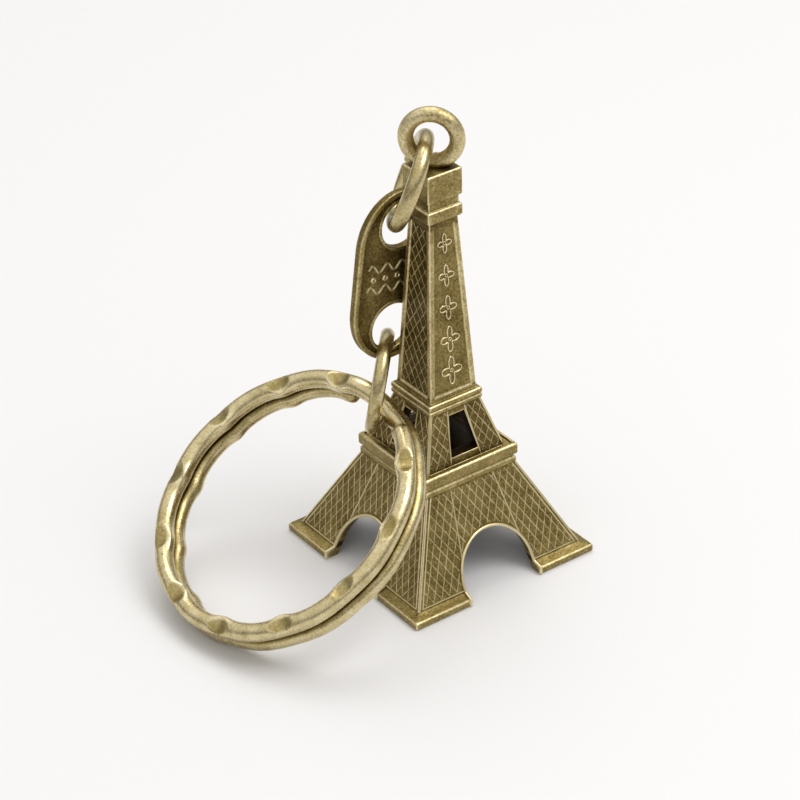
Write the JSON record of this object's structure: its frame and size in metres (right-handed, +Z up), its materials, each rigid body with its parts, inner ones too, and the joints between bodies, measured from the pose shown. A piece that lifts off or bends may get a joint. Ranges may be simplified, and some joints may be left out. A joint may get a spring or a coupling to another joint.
{
  "type": "keychain",
  "caption": "Keychain with a hollow lattice-tower charm, an eye on its top, a pierced oblong tag between two open jump rings, and a two-turn split ring.",
  "frame": {"origin": "centre of the bounding box's base, on the surface that the tower stands on", "axes": "+Z up along the tower, +X from the split ring towards the tower, -Y towards the tower's front face"},
  "size_m": [0.0404, 0.0294, 0.0492],
  "materials": {
    "cast_bronze": "antique bronze plating on a zinc casting, dark in the recesses and rubbed bright on the edges",
    "ring_wire": "antique bronze plated round wire, satin",
    "stamped_tag": "antique bronze plated stamped plate, dark field and bright rim",
    "split_ring_wire": "antique bronze plated wire with hammered hollows, satin"
  },
  "bodies": {
    "tower": {"tower": "cast_bronze"},
    "upper_link": {"upper_jump_ring": "ring_wire"},
    "tag": {"tag": "stamped_tag"},
    "lower_link": {"lower_jump_ring": "ring_wire"},
    "key_ring": {"split_ring": "split_ring_wire"}
  },
  "joints": [
    {"name": "upper_link_swing", "type": "hinge", "parent": "tower", "child": "upper_link", "pos_m": [0.0091, -0.00216, 0.04595], "axis": [0.7071, 0.7071, 0], "range_deg": [0, 110]},
    {"name": "tag_swing", "type": "hinge", "parent": "upper_link", "child": "tag", "pos_m": [0.00751, 0.00095, 0.03613], "axis": [0.0035, 0.9999, 0.0168], "range_deg": [0, 45]},
    {"name": "lower_link_swing", "type": "hinge", "parent": "tag", "child": "lower_link", "pos_m": [0.00611, 0.00113, 0.02518], "axis": [0.0035, 0.9999, 0.0168], "range_deg": [0, 60]},
    {"name": "key_ring_swing", "type": "hinge", "parent": "lower_link", "child": "key_ring", "pos_m": [0.00408, 0.00039, 0.01981], "axis": [-0.7428, 0.648, 0.1685], "range_deg": [0, 60]}
  ]
}
